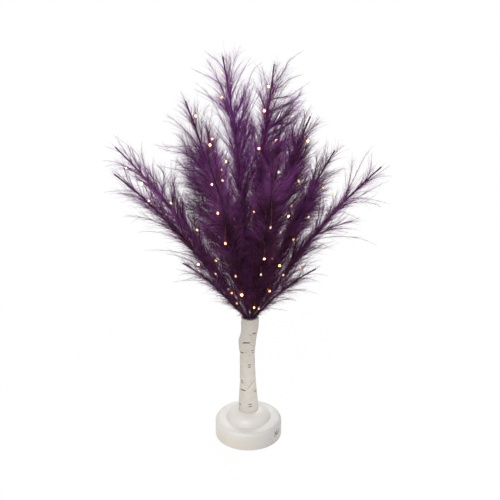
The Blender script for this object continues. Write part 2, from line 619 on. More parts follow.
def put(tree, kind, inputs=None, **settings):
    """Add a node with its settings, and link or set its inputs."""
    node = tree.nodes.new(kind)
    for name, value in settings.items():
        setattr(node, name, value)
    for name, value in (inputs or {}).items():
        socket = node.inputs[name]
        if isinstance(value, bpy.types.NodeSocket):
            tree.links.new(value, socket)
        else:
            socket.default_value = value
    return node


def compute(tree, operation, *values):
    """A Math node's result."""
    return put(tree, "ShaderNodeMath", dict(enumerate(values)), operation=operation).outputs[0]


def times(tree, first, second):
    """The product of two values."""
    return compute(tree, "MULTIPLY", first, second)


def mapped(tree, value, low, high, new_low=0.0, new_high=1.0):
    """A value moved from one range to another, and held inside it."""
    return put(tree, "ShaderNodeMapRange", {0: value, 1: low, 2: high, 3: new_low, 4: new_high}).outputs[0]


def opaque(colour):
    """A colour with full alpha; a linked colour stays as it is."""
    return colour if isinstance(colour, bpy.types.NodeSocket) else (*colour, 1.0)


def blended(tree, factor, first, second):
    """A colour between two others."""
    inputs = {0: factor, 6: opaque(first), 7: opaque(second)}
    return put(tree, "ShaderNodeMix", inputs, data_type="RGBA").outputs[2]


def spots(tree, vector, scale, detail=3.0, roughness=0.55):
    """A noise pattern on a vector."""
    inputs = {"Vector": vector, "Scale": scale, "Detail": detail, "Roughness": roughness}
    return put(tree, "ShaderNodeTexNoise", inputs).outputs[0]


def stretched_spots(tree, vector, scales, detail, roughness):
    """A noise pattern with its own scale along each axis."""
    stretched = put(tree, "ShaderNodeMapping", {"Vector": vector, "Scale": scales}).outputs[0]
    return spots(tree, stretched, 1.0, detail, roughness)


def measured(tree, operation, *vectors):
    """A Vector Math node's single value."""
    return put(tree, "ShaderNodeVectorMath", dict(enumerate(vectors)), operation=operation).outputs["Value"]


def along_axis(tree, vector, axis):
    """One part of a vector."""
    return put(tree, "ShaderNodeSeparateXYZ", {0: vector}).outputs[axis]


def carried_value(tree, name):
    """A value that the mesh carries."""
    return put(tree, "ShaderNodeAttribute", attribute_name=name).outputs["Fac"]


def seen_directly(tree):
    """1 for what the camera sees straight, mirrored or through glass, and 0 for what only gives light."""
    path = put(tree, "ShaderNodeLightPath").outputs
    bounced = compute(tree, "MAXIMUM", path["Is Glossy Ray"], path["Is Transmission Ray"])
    return compute(tree, "MAXIMUM", path["Is Camera Ray"], bounced)


def new_finish(name, **constants):
    """An empty finish: its material, its tree, its shader and the object's coordinates."""
    material = bpy.data.materials.new(name)
    material.use_nodes = True
    tree = material.node_tree
    shader = tree.nodes["Principled BSDF"]
    for socket, value in constants.items():
        shader.inputs[socket.replace("_", " ")].default_value = value
    place = put(tree, "ShaderNodeTexCoord").outputs["Object"]
    return material, tree, shader, place


def feed(tree, shader, **links):
    """Link values into a shader's sockets."""
    for socket, value in links.items():
        tree.links.new(value, shader.inputs[socket.replace("_", " ")])


def raised(tree, height, distance):
    """A bump from a height."""
    return put(tree, "ShaderNodeBump", {"Height": height, "Distance": distance}).outputs[0]


def moulded_finish(name):
    """A fine-grained finish between two colours, for mouldings, metal and rubber."""
    light, dark, grain, rough, bump, constants = MOULDED[name]
    material, tree, shader, place = new_finish(name, **constants)
    cloud = spots(tree, place, grain / 12)
    fine = spots(tree, place, grain, 4.0, 0.7)
    mix = compute(tree, "MULTIPLY_ADD", fine, 0.4, times(tree, cloud, 0.6))
    feed(tree, shader, Base_Color=blended(tree, mapped(tree, mix, 0.35, 0.65), dark, light),
         Roughness=mapped(tree, cloud, 0.3, 0.7, *rough), Normal=raised(tree, fine, bump))
    return material


def base_finish(settings):
    """Satin warm-white moulding, with a faint cloudy tone and rubbed patches to the right of the front."""
    material, tree, shader, place = new_finish("base_satin", Coat_Weight=0.25, Coat_Roughness=0.22)
    cloud = spots(tree, place, 38.0, 4.0, 0.6)
    fine = spots(tree, place, 1100.0, 3.0, 0.7)
    speck = spots(tree, place, 260.0, 5.0, 0.75)
    dimmed = [channel * 0.94 for channel in settings.shell]
    side = measured(tree, "DOT_PRODUCT", place, SIDE_WAY)
    height = along_axis(tree, place, "Z")
    tone = blended(tree, mapped(tree, cloud, 0.35, 0.65), dimmed, settings.shell)
    tone = blended(tree, mapped(tree, height, *UPPER_HEIGHTS), tone, settings.upper)
    tone = blended(tree, mapped(tree, side, *COOL_SIDE, 0.0, 0.75), tone, settings.cool)
    blotch = times(tree, mapped(tree, speck, 0.50, 0.60), 0.55)
    rubbed = times(tree, mapped(tree, side, *WORN_SIDE), blotch)
    feed(tree, shader, Base_Color=blended(tree, rubbed, tone, settings.worn),
         Roughness=mapped(tree, cloud, 0.3, 0.7, 0.36, 0.52), Normal=raised(tree, fine, 0.05 * MM))
    return material


def bark_finish(settings):
    """Pale birch bark: fine level streaks, warm patches, and dark marks where the mesh carries them."""
    material, tree, shader, place = new_finish("birch_bark", Specular_IOR_Level=0.35)
    streak = stretched_spots(tree, place, (60.0, 60.0, 1500.0), 5.0, 0.65)
    patch = spots(tree, place, 70.0, 4.0, 0.6)
    grain = stretched_spots(tree, place, (350.0, 350.0, 1900.0), 6.0, 0.7)
    groove = stretched_spots(tree, place, (420.0, 420.0, 25.0), 4.0, 0.6)
    warm = [channel * part for channel, part in zip(settings.bark, (0.93, 0.86, 0.76))]
    tone = blended(tree, mapped(tree, patch, 0.42, 0.68, 0.0, 0.8), settings.bark, warm)
    bleached = blended(tree, mapped(tree, streak, 0.52, 0.66, 0.0, 0.55), tone, (0.70, 0.67, 0.63))
    height = along_axis(tree, place, "Z")
    near_mouth = mapped(tree, height, *GROOVE_HEIGHTS, 0.0, 0.55)
    grooved = times(tree, mapped(tree, groove, 0.50, 0.64), near_mouth)
    dull = compute(tree, "MAXIMUM", grooved, mapped(tree, height, *DULL_HEIGHTS, 0.0, 0.43))
    bleached = blended(tree, dull, bleached, (0.30, 0.27, 0.24))
    marked = compute(tree, "SUBTRACT", carried_value(tree, "mark"), 0.25)
    dark = mapped(tree, compute(tree, "MULTIPLY_ADD", grain, 0.5, marked), 0.24, 0.52)
    feed(tree, shader, Base_Color=blended(tree, dark, bleached, settings.mark),
         Roughness=mapped(tree, streak, 0.3, 0.7, 0.62, 0.85), Normal=raised(tree, grain, 0.12 * MM))
    return material


def fibre_finish(settings):
    """Dyed fibre: deep maroon at the shaft, brighter purple to the tips, a little different on every hair."""
    material, tree, shader, place = new_finish(
        "dyed_fibre", Specular_IOR_Level=0.10, Sheen_Weight=0.08, Sheen_Roughness=0.4,
        Sheen_Tint=(0.55, 0.35, 0.75, 1.0))
    reach = carried_value(tree, "reach")
    shade = carried_value(tree, "shade")
    cloud = spots(tree, place, 26.0, 3.0, 0.6)
    from_mouth = measured(tree, "DISTANCE", place, (0.0, 0.0, PIVOT_HEIGHT))
    from_heart = measured(tree, "DISTANCE", place, HEART_PLACE)
    outer = mapped(tree, from_mouth, *DYE_REACH, -0.09, 0.22)
    span = compute(tree, "ADD", outer, mapped(tree, from_heart, *HEART_REACH, -0.13, 0.0))
    own = compute(tree, "MULTIPLY_ADD", reach, 0.52, compute(tree, "MULTIPLY_ADD", shade, 0.24, span))
    cloudy = compute(tree, "MULTIPLY_ADD", cloud, 0.8, -0.46)
    lift = compute(tree, "MULTIPLY_ADD", carried_value(tree, "tone"), 0.30, cloudy)
    level = compute(tree, "ADD", own, lift)
    low = blended(tree, mapped(tree, level, 0.0, 0.5), settings.deep_dye, settings.dye)
    feed(tree, shader, Base_Color=blended(tree, mapped(tree, level, 0.45, 1.0), low, settings.bright_dye),
         Roughness=mapped(tree, shade, 0.0, 1.0, 0.45, 0.72))
    return material


def drop_finish(settings):
    """A clear resin drop lit from its middle."""
    material, tree, shader, place = new_finish(
        "lit_drop", Base_Color=opaque((0.95, 0.78, 0.55)), Roughness=0.12, Coat_Weight=0.6,
        Emission_Color=opaque(settings.glow))
    hump = compute(tree, "SINE", times(tree, carried_value(tree, "reach"), math.pi))
    level = times(tree, compute(tree, "POWER", hump, 4.0), settings.strength)
    ripple = mapped(tree, spots(tree, place, 900.0), 0.3, 0.7, 0.9, 1.1)
    own_level = times(tree, ripple, carried_value(tree, "shade"))
    feed(tree, shader, Emission_Strength=times(tree, level, own_level))
    return material


def sleeve_finish():
    """A cell's dark sleeve between bright ends."""
    material, tree, shader, place = new_finish("cell_sleeve")
    from_middle = compute(tree, "ABSOLUTE", along_axis(tree, place, "Y"))
    end = compute(tree, "GREATER_THAN", from_middle, SLEEVE_END)
    band = compute(tree, "GREATER_THAN", from_middle, SLEEVE_BAND)
    fine = stretched_spots(tree, place, (2000.0, 60.0, 2000.0), 4.0, 0.6)
    sleeve = blended(tree, band, (0.03, 0.05, 0.09), (0.45, 0.30, 0.10))
    steel = blended(tree, fine, (0.45, 0.45, 0.46), (0.7, 0.7, 0.7))
    feed(tree, shader, Base_Color=blended(tree, end, sleeve, steel),
         Metallic=mapped(tree, end, 0.0, 1.0, 0.25, 1.0),
         Roughness=mapped(tree, fine, 0.3, 0.7, 0.22, 0.4), Normal=raised(tree, fine, 0.01 * MM))
    return material


def stage_finish(cover):
    """Matt white that the camera sees as plain white, but for a soft shadow."""
    material, tree, shader, place = new_finish(
        "floor_white", Base_Color=opaque((0.9, 0.9, 0.9)), Roughness=0.9)
    plain_share = mapped(tree, measured(tree, "LENGTH", place), *FLOOR_WHITENS, cover, 1.0)
    white = put(tree, "ShaderNodeEmission", {"Color": opaque((1.0, 1.0, 1.0)), "Strength": 1.0}).outputs[0]
    mixed = put(tree, "ShaderNodeMixShader", {
        0: times(tree, seen_directly(tree), plain_share), 1: shader.outputs[0], 2: white}).outputs[0]
    tree.links.new(mixed, tree.nodes["Material Output"].inputs[0])
    return material


def add_piece(name, mesh, slot, body, *nodes):
    """Put a finished mesh in the scene, riding on its body in place of its nodes."""
    piece = placed(name, mesh)
    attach(piece, body)
    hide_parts(*nodes)


def placed(name, data):
    """A new object with its data, in the scene."""
    thing = bpy.data.objects.new(name, data)
    bpy.context.collection.objects.link(thing)
    return thing


def body_of_plume(name):
    """The body that a plume's pieces ride on."""
    body = "branch_" + name
    return body if body in frame["bodies"] else "root"


def baked(guide, tree, values):
    """The plain mesh that a node tree makes of a guide mesh."""
    carrier = placed(guide.name + "_guide", guide)
    modifier = carrier.modifiers.new("shape", "NODES")
    modifier.node_group = tree
    for item in tree.interface.items_tree:
        if item.name in values:
            modifier[item.identifier] = values[item.name]
    graph = bpy.context.evaluated_depsgraph_get()
    mesh = bpy.data.meshes.new_from_object(carrier.evaluated_get(graph), depsgraph=graph)
    if not mesh.polygons:
        raise RuntimeError(f"{guide.name} made no faces")
    bpy.data.objects.remove(carrier)
    return mesh


def guide_mesh(name, lines, **columns):
    """Separate runs of edges, with one value per point for each named column."""
    points = [point for line in lines for point in line]
    edges = []
    first = 0
    for line in lines:
        edges += [(first + step, first + step + 1) for step in range(len(line) - 1)]
        first += len(line)
    mesh = bpy.data.meshes.new(name)
    mesh.from_pydata(points, edges, [])
    for column, values in columns.items():
        attribute = mesh.attributes.new(column, "FLOAT", "POINT")
        attribute.data.foreach_set("value", values)
    return mesh


def tree_with(name, sockets):
    """A new node tree with named inputs, and its geometry output."""
    tree = bpy.data.node_groups.new(name, "GeometryNodeTree")
    for label, kind in sockets.items():
        tree.interface.new_socket(label, in_out="INPUT", socket_type="NodeSocket" + kind)
    tree.interface.new_socket("Geometry", in_out="OUTPUT", socket_type="NodeSocketGeometry")
    return tree, put(tree, "NodeGroupInput").outputs


def stored(tree, geometry, name, value, domain="POINT"):
    """Geometry with a named value on it."""
    inputs = {"Geometry": geometry, "Name": name, "Value": value}
    return put(tree, "GeometryNodeStoreNamedAttribute", inputs, data_type="FLOAT", domain=domain).outputs[0]


def named(tree, name):
    """A named value on the geometry."""
    return put(tree, "GeometryNodeInputNamedAttribute", {"Name": name}, data_type="FLOAT").outputs[0]


def swept(tree, curve, sides, radius, scale=1.0):
    """A closed round tube along a curve."""
    profile = put(tree, "GeometryNodeCurvePrimitiveCircle", {"Resolution": sides, "Radius": radius})
    inputs = {"Curve": curve, "Profile Curve": profile.outputs[0], "Scale": scale, "Fill Caps": True}
    return put(tree, "GeometryNodeCurveToMesh", inputs).outputs[0]


def resampled(tree, curve, points):
    """A curve with a set number of points, each with its share of the length stored as reach."""
    run = put(tree, "GeometryNodeResampleCurve", {"Curve": curve, "Count": points}).outputs[0]
    return stored(tree, run, "reach", along_curve(tree))


def along_curve(tree):
    """How far along its curve a point lies, from 0 to 1."""
    return put(tree, "GeometryNodeSplineParameter").outputs["Factor"]


def chance(tree, low, high, seed, step=0):
    """A random number between two others; every step gives other ones."""
    inputs = {2: low, 3: high, "Seed": compute(tree, "ADD", seed, step)}
    return put(tree, "FunctionNodeRandomValue", inputs).outputs[1]


def vector_of(tree, parts):
    """A vector with some of its parts given, and the others zero."""
    return put(tree, "ShaderNodeCombineXYZ", parts).outputs[0]


def as_curves(tree, geometry):
    """Guide lines as curves."""
    return put(tree, "GeometryNodeMeshToCurve", {0: geometry}).outputs[0]


def smooth(tree, geometry):
    """Geometry shaded smooth."""
    return put(tree, "GeometryNodeSetShadeSmooth", {0: geometry, 2: True}).outputs[0]


def coated(tree, geometry, finish):
    """Geometry with a finish."""
    return put(tree, "GeometryNodeSetMaterial", {"Geometry": geometry, "Material": finish}).outputs[0]


def instances(tree, points, instance, **inputs):
    """A copy of an instance on every point."""
    values = {socket.replace("_", " "): value for socket, value in inputs.items()}
    values.update({"Points": points, "Instance": instance})
    return put(tree, "GeometryNodeInstanceOnPoints", values).outputs[0]


def joined(tree, *geometries):
    """Joined and realised geometry."""
    join = put(tree, "GeometryNodeJoinGeometry")
    for geometry in geometries:
        tree.links.new(geometry, join.inputs[0])
    return put(tree, "GeometryNodeRealizeInstances", {0: join.outputs[0]}).outputs[0]


def hair_sorts(tree, girth):
    """Curved tapering hairs of unit length as instances, one for each number of points."""
    start, middle, end = HAIR_BEND
    bend = put(tree, "GeometryNodeCurveQuadraticBezier", {
        "Resolution": HAIR_BEND_POINTS, "Start": start, "Middle": middle, "End": end}).outputs[0]
    taper = compute(tree, "SUBTRACT", 1.0, times(tree, along_curve(tree), HAIR_TAPER))
    sorts = put(tree, "GeometryNodeJoinGeometry")
    for points in HAIR_POINTS:
        hair = swept(tree, resampled(tree, bend, points), HAIR_SIDES, girth, taper)
        tree.links.new(put(tree, "GeometryNodeGeometryToInstance", {0: hair}).outputs[0], sorts.inputs[0])
    return sorts.outputs[0]


def hair_turns(tree, along_line, seed):
    """How each hair turns off its line: to one side or the other, and a little up or down."""
    side = times(tree, compute(tree, "GREATER_THAN", chance(tree, 0.0, 1.0, seed), 0.5), math.pi)
    off = chance(tree, -HAIR_TURN, HAIR_TURN, seed, 1)
    inputs = {0: (0.0, 0.0, 1.0), 1: compute(tree, "ADD", side, off)}
    spin = put(tree, "FunctionNodeAxisAngleToRotation", inputs).outputs[0]
    turned = put(tree, "FunctionNodeRotateRotation", {0: along_line, 1: spin}, rotation_space="LOCAL")
    return turned.outputs[0]


def hair_sizes(tree, seed):
    """Each hair's length, and its size across and along: in clumps and tufts, and by chance."""
    spot = put(tree, "GeometryNodeInputPosition").outputs[0]
    clump = mapped(tree, spots(tree, spot, 110.0, 2.0), 0.3, 0.7, 0.50, 1.35)
    tuft = mapped(tree, spots(tree, spot, 65.0, 3.0), 0.32, 0.68, 0.68, 1.28)
    own_length = times(tree, named(tree, "fluff"), chance(tree, 0.50, 1.20, seed, 2))
    length = times(tree, own_length, tuft)
    spread = times(tree, clump, chance(tree, 0.65, 1.2, seed, 3))
    return length, vector_of(tree, {0: times(tree, length, spread), 1: length, 2: length})


def fluff_tree():
    """Fronds with a shaft and fine curved hairs, from guide lines with a girth and a hair length."""
    tree, given = tree_with("plume_fluff", {
        "Geometry": "Geometry", "Hair Spacing": "Float", "Hair Girth": "Float", "Shaft Radius": "Float",
        "Short Hair": "Float", "Tone": "Float", "Seed": "Int", "Finish": "Material"})
    seed = given["Seed"]
    lines = as_curves(tree, given["Geometry"])
    shaft = swept(tree, lines, SHAFT_SIDES, given["Shaft Radius"], named(tree, "girth"))
    shaft = stored(tree, stored(tree, shaft, "reach", 0.0), "shade", SHAFT_SHADE)
    spacing = {"Curve": lines, "Length": given["Hair Spacing"]}
    roots = put(tree, "GeometryNodeCurveToPoints", spacing, mode="LENGTH")
    length, size = hair_sizes(tree, seed)
    short = compute(tree, "LESS_THAN", length, given["Short Hair"])
    tiny = compute(tree, "LESS_THAN", length, times(tree, given["Short Hair"], 0.5))
    hairs = instances(
        tree, roots.outputs[0], hair_sorts(tree, given["Hair Girth"]),
        Selection=compute(tree, "LESS_THAN", chance(tree, 0.0, 1.0, seed, 5), named(tree, "crowd")),
        Pick_Instance=True, Instance_Index=compute(tree, "ADD", short, tiny),
        Rotation=hair_turns(tree, roots.outputs["Rotation"], seed), Scale=size)
    hairs = stored(tree, hairs, "shade", chance(tree, 0.0, 1.0, seed, 4), "INSTANCE")
    toned = stored(tree, joined(tree, shaft, hairs), "tone", given["Tone"])
    put(tree, "NodeGroupOutput", {0: coated(tree, toned, given["Finish"])})
    return tree


def drop_along_z(tree, given):
    """A resin drop along Z, thick in its middle."""
    half = times(tree, given["Drop Length"], 0.5)
    low = vector_of(tree, {2: times(tree, half, -1.0)})
    high = vector_of(tree, {2: half})
    core = put(tree, "GeometryNodeCurvePrimitiveLine", {"Start": low, "End": high}).outputs[0]
    core = resampled(tree, core, DROP_POINTS)
    hump = compute(tree, "SINE", times(tree, along_curve(tree), math.pi))
    swell = compute(tree, "POWER", compute(tree, "MAXIMUM", hump, 0.0), DROP_POWER)
    drop = swept(tree, core, DROP_SIDES, given["Drop Radius"], compute(tree, "MAXIMUM", swell, DROP_LEAST))
    return smooth(tree, coated(tree, drop, given["Drop Finish"]))


def string_tree():
    """A thin wire along a guide line, with a resin drop at each point that is marked for one."""
    tree, given = tree_with("light_string", {
        "Geometry": "Geometry", "Wire Radius": "Float", "Drop Radius": "Float", "Drop Length": "Float",
        "Seed": "Int", "Wire Finish": "Material", "Drop Finish": "Material"})
    line = as_curves(tree, given["Geometry"])
    wire = coated(tree, swept(tree, line, WIRE_SIDES, given["Wire Radius"]), given["Wire Finish"])
    corners = put(tree, "GeometryNodeCurveToPoints", {"Curve": line}, mode="EVALUATED").outputs
    drops = instances(
        tree, corners[0], drop_along_z(tree, given),
        Selection=compute(tree, "GREATER_THAN", named(tree, "lamp"), 0.5),
        Rotation=corners["Rotation"], Scale=chance(tree, 0.85, 1.1, given["Seed"]))
    luck = compute(tree, "POWER", chance(tree, 0.0, 1.0, given["Seed"], 1), GLOW_POWER)
    drops = stored(tree, drops, "shade", mapped(tree, luck, 0.0, 1.0, LEAST_GLOW, 1.0), "INSTANCE")
    put(tree, "NodeGroupOutput", {0: joined(tree, wire, drops)})
    return tree


def coil_tree():
    """Coil springs, one at each guide point, turned to face the way that the point's value says."""
    tree, given = tree_with("coil_springs", {
        "Geometry": "Geometry", "Wire Radius": "Float", "Coil Radius": "Float", "Turns": "Float",
        "Length": "Float", "Finish": "Material"})
    coil = put(tree, "GeometryNodeCurveSpiral", {
        "Resolution": COIL_POINTS, "Rotations": given["Turns"], "Start Radius": given["Coil Radius"],
        "End Radius": given["Coil Radius"], "Height": given["Length"]}).outputs[0]
    wire = swept(tree, coil, COIL_SIDES, given["Wire Radius"])
    ahead = vector_of(tree, {0: times(tree, named(tree, "facing"), math.pi / 2)})
    turn = put(tree, "FunctionNodeEulerToRotation", {0: ahead}).outputs[0]
    points = put(tree, "GeometryNodeMeshToPoints", {0: given["Geometry"]}).outputs[0]
    coils = smooth(tree, joined(tree, instances(tree, points, wire, Rotation=turn)))
    put(tree, "NodeGroupOutput", {0: coated(tree, coils, given["Finish"])})
    return tree


class Stem:
    """The line of one plume's stem, bent in the upright plane that it leans in."""

    def __init__(self, name):
        radius, angle, azimuth, lean, bend, reach, width, tone, lights = PLUMES[name]
        spot = RING_FIRST_ANGLE + RING_STEP * angle if radius == RING_RADIUS else angle
        spot = math.radians(spot)
        self.name = name
        self.outer = radius == RING_RADIUS
        self.tone = tone
        self.lights = lights
        self.root = Vector((TRUNK_TOP_SHIFT + radius * math.cos(spot), radius * math.sin(spot), PIVOT_HEIGHT))
        turn = math.radians(azimuth)
        self.out = Vector((math.cos(turn), math.sin(turn), 0))
        self.side = Vector((-math.sin(turn), math.cos(turn), 0))
        self.lean = math.radians(lean)
        self.length = PLUME_REACH * reach
        self.half_width = PLUME_HALF_WIDTH * width
        self.straight = self.length * STRAIGHT_SHARE
        self.bend_radius = (self.length - self.straight) / math.radians(bend)
        tip = self.place(self.length - STEM_TAIL)
        low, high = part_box("stem_" + name)
        if abs(high.z - tip.z) > STEM_SLACK or not low.x - STEM_SLACK < tip.x < high.x + STEM_SLACK:
            raise RuntimeError(f"the stem of {name} ends elsewhere in the frame")

    def lean_at(self, along):
        """The lean from upright at a distance along the stem."""
        return self.lean + max(0, along - self.straight) / self.bend_radius

    def forward(self, along):
        """The stem's direction."""
        lean = self.lean_at(along)
        return self.out * math.sin(lean) + UP * math.cos(lean)

    def groundward(self, along):
        """The direction off the stem that faces the ground."""
        lean = self.lean_at(along)
        return self.out * math.cos(lean) - UP * math.sin(lean)

    def place(self, along, off=0.0):
        """A point along the stem, and off it towards the ground."""
        run = min(along, self.straight)
        lean = self.lean_at(along)
        reach = run * math.sin(self.lean) + self.bend_radius * (math.cos(self.lean) - math.cos(lean))
        rise = run * math.cos(self.lean) + self.bend_radius * (math.sin(lean) - math.sin(self.lean))
        return self.root + self.out * reach + UP * rise + self.groundward(along) * off


def looked_up(table, share_along):
    """A value between the rows of a table of shares."""
    for (low, low_value), (high, high_value) in zip(table, table[1:]):
        if share_along <= high:
            blend = max(0.0, share_along - low) / (high - low)
            return low_value + (high_value - low_value) * blend
    return table[-1][1]


def sight(pixel):
    """The direction from the camera through a pixel, one deep."""
    middle = FRAME_SIDE / 2
    across = (pixel[0] - middle) / FOCAL_PIXELS
    rise = (middle - pixel[1]) / FOCAL_PIXELS
    return VIEW_FORWARD + Vector((across, 0, 0)) + VIEW_UPWARD * rise


def pixel_of(point):
    """The pixel that a point is seen at."""
    ray = point - CAMERA_PLACE
    depth = ray.dot(VIEW_FORWARD)
    middle = FRAME_SIDE / 2
    across = ray.x / depth * FOCAL_PIXELS
    rise = ray.dot(VIEW_UPWARD) / depth * FOCAL_PIXELS
    return Vector((middle + across, middle - rise))


def smooth_line(corners, steps):
    """Points along a smooth line through corners, as many between each two."""
    padded = [corners[0] * 2 - corners[1], *corners, corners[-1] * 2 - corners[-2]]
    points = []
    for before, start, end, after in zip(padded, padded[1:], padded[2:], padded[3:]):
        for step in range(steps):
            t = step / steps
            ease = (2 * start + (end - before) * t + (2 * before - 5 * start + 4 * end - after) * t * t
                    + (3 * start - before - 3 * end + after) * t ** 3)
            points.append(ease / 2)
    points.append(corners[-1])
    return points


def grown_frond(stem, root_share, spin, length, opening, curl, sag):
    """A frond that leaves the stem, turns outwards and sags a little."""
    along = stem.length * root_share
    forward = stem.forward(along)
    aside = stem.side * math.cos(spin) + stem.groundward(along) * math.sin(spin)
    point = stem.place(along)
    points = [point]
    for step in range(FROND_POINTS):
        t = (step + 0.5) / FROND_POINTS
        turned = opening + curl * t ** CURL_POWER
        way = forward * math.cos(turned) + aside * math.sin(turned) - UP * (sag * t * t)
        point = point + way.normalized() * (length / FROND_POINTS)
        points.append(point)
    return points


def aimed_frond(stem, pixels):
    """A frond that leaves the stem and is seen through the given pixels."""
    first = Vector(pixels[0])
    shares = [step / 100 for step in AIMED_ROOTS]
    root_share = min(shares, key=lambda s: (pixel_of(stem.place(stem.length * s)) - first).length)
    along = stem.length * root_share
    start = stem.place(along)
    depth = (start - CAMERA_PLACE).dot(VIEW_FORWARD)
    slope = stem.forward(along).dot(VIEW_FORWARD)
    corners = [stem.place(max(AIMED_FIRST * stem.length, along - AIMED_TAIL * stem.length)), start]
    run = 0.0
    for before, pixel in zip(pixels, pixels[1:]):
        run += (Vector(pixel) - Vector(before)).length * depth / FOCAL_PIXELS
        corners.append(CAMERA_PLACE + sight(pixel) * (depth + slope * run))
    return smooth_line(corners, max(2, FROND_POINTS // (len(corners) - 1)))


def room_round(point):
    """How far a point lies inside the room that the crown may take, from side to side and front to back."""
    low, high = cad_bounds
    gaps = [min(point[axis] - low[axis], high[axis] - point[axis]) for axis in (0, 1)]
    return min(gaps) + PAST_FRAME


def longest_hair(point, growth):
    """The longest hair that fits at a point: short by the mouth and the room's edge."""
    from_mouth = (point - Vector((TRUNK_TOP_SHIFT, 0, PIVOT_HEIGHT))).length
    return max(0.0, min(ROOM_SHARE * room_round(point), MOUTH_HAIR + growth * from_mouth))


class PlumeGuide:
    """The guide lines of one plume: its core, its fronds and wisps, its skirt and its aimed strands."""

    def __init__(self, stem, settings, rng):
        self.stem = stem
        self.settings = settings
        self.rng = rng
        self.size = (stem.length / PLUME_REACH) ** SIZE_POWER
        self.hair_share = HAIR_SHARES.get(stem.name, 1.0)
        self.growth = OUTER_GROWTH if stem.outer else INNER_GROWTH
        self.lines = []
        self.columns = {"girth": [], "fluff": [], "crowd": []}

    def keep(self, points, longest, sort):
        """Keep what lies in the crown's room of a line, with its girth, hair length and hair density."""
        girth, slim, root_crowd, tip_crowd = sort
        last = len(points) - 1
        line = []
        for step, point in enumerate(points):
            if step >= 2 and room_round(point) <= 0:
                continue
            t = step / last
            rise = ROOT_HAIR + GAINED_HAIR * min(1.0, t / GAIN_SHARE)
            fall = min(1.0, (1 - t) / slim) ** TIP_POWER
            fluff = longest * (rise * fall + LEAST_HAIR)
            self.columns["girth"].append(girth * (1 - t) ** GIRTH_POWER + LEAST_GIRTH)
            self.columns["fluff"].append(min(fluff, longest_hair(point, self.growth)))
            self.columns["crowd"].append(self.hair_share * (root_crowd + (tip_crowd - root_crowd) * t))
            line.append(point)
        self.lines.append(line)

    def add_core(self):
        """Add the hairy lines right beside the stem."""
        stem = self.stem
        settings = self.settings
        sort = (*CORE_SORT, STEM_HAIR, TIP_STEM_HAIR.get(stem.name, 0.0))
        shares = [CORE_START + (1 - CORE_START) * step / STEM_POINTS for step in range(STEM_POINTS + 1)]
        alongs = [stem.length * along_share for along_share in shares]
        for line in range(settings.core_count):
            turn = 2 * math.pi * line / settings.core_count
            beside = (stem.side * math.cos(turn) + stem.groundward(0) * math.sin(turn)) * settings.core_offset
            core = [stem.place(along) + beside * (1 - CORE_CLOSING * along / stem.length) for along in alongs]
            self.keep(core, settings.hair_length * self.size, sort)

    def add_fronds(self, total, splay, hair_range, sort):
        """Add fronds all round the stem, as many as suit the plume's length."""
        stem = self.stem
        settings = self.settings
        rng = self.rng
        girth, slim, root_crowd, tip_crowd = sort
        spread = AIRY_SPREAD.get(stem.name, 1.0)
        airy = AIRY_HAIR if stem.name in AIRY_SPREAD else 1.0
        thinning = TIP_THINNING.get(stem.name, THINNING)
        wanted = round(total * (LEAST_FULLNESS + GROWN_FULLNESS * stem.length / PLUME_REACH))
        for place in range(wanted):
            root_share = ROOT_FROM + ROOT_RANGE * (place + rng.random()) / wanted
            spin = TURN_STEP * place + rng.uniform(-TURN_CHANCE, TURN_CHANCE)
            length = stem.length * looked_up(FROND_SHARES, root_share) * rng.uniform(*LENGTH_CHANCE)
            length = min(length, stem.length * (LENGTH_TO_TIP - root_share))
            opening = settings.opening * splay * spread * rng.uniform(*OPENING_CHANCE)
            curl = settings.curl * rng.uniform(*CURL_CHANCE) * (ROOT_CURL + TIP_CURL * root_share)
            points = grown_frond(stem, root_share, spin, length, opening, curl, rng.uniform(*SAG_CHANCE))
            longest = settings.hair_length * self.size * airy * rng.uniform(*hair_range)
            thinned = 1 - thinning * max(0.0, root_share - THIN_FROM) / (1 - THIN_FROM)
            self.keep(points, longest, (girth, slim, root_crowd * thinned, tip_crowd * thinned))

    def add_skirt(self):
        """Add short tufts round the root."""
        settings = self.settings
        rng = self.rng
        for tuft in range(settings.skirt_count):
            spin = 2 * math.pi * (tuft + rng.random()) / settings.skirt_count
            length = rng.uniform(*TUFT_LENGTH) * settings.skirt_length
            opening = rng.uniform(*TUFT_OPENING)
            root_share = rng.uniform(*SKIRT_SHARES)
            points = grown_frond(self.stem, root_share, spin, length, opening, settings.curl, TUFT_SAG)
            self.keep(points, settings.skirt_length * TUFT_HAIR, TUFT_SORT)

    def add_aimed(self, table, length_share, sort):
        """Add the plume's own lines of a table of pixels."""
        for pixels in table.get(self.stem.name, ()):
            self.keep(aimed_frond(self.stem, pixels), self.settings.hair_length * length_share, sort)

    def mesh(self):
        """All of the plume's lines as one mesh."""
        settings = self.settings
        self.add_core()
        self.add_fronds(settings.frond_count, FROND_SPLAY, FROND_HAIR, FROND_SORT)
        self.add_fronds(settings.wisp_count, WISP_SPLAY, WISP_HAIR, WISP_SORT)
        self.add_skirt()
        self.add_aimed(STRANDS, STRAND_HAIR, STRAND_SORT)
        self.add_aimed(FULL_FRONDS, FULL_HAIR, FULL_SORT)
        return guide_mesh("plumage_" + self.stem.name, self.lines, **self.columns)


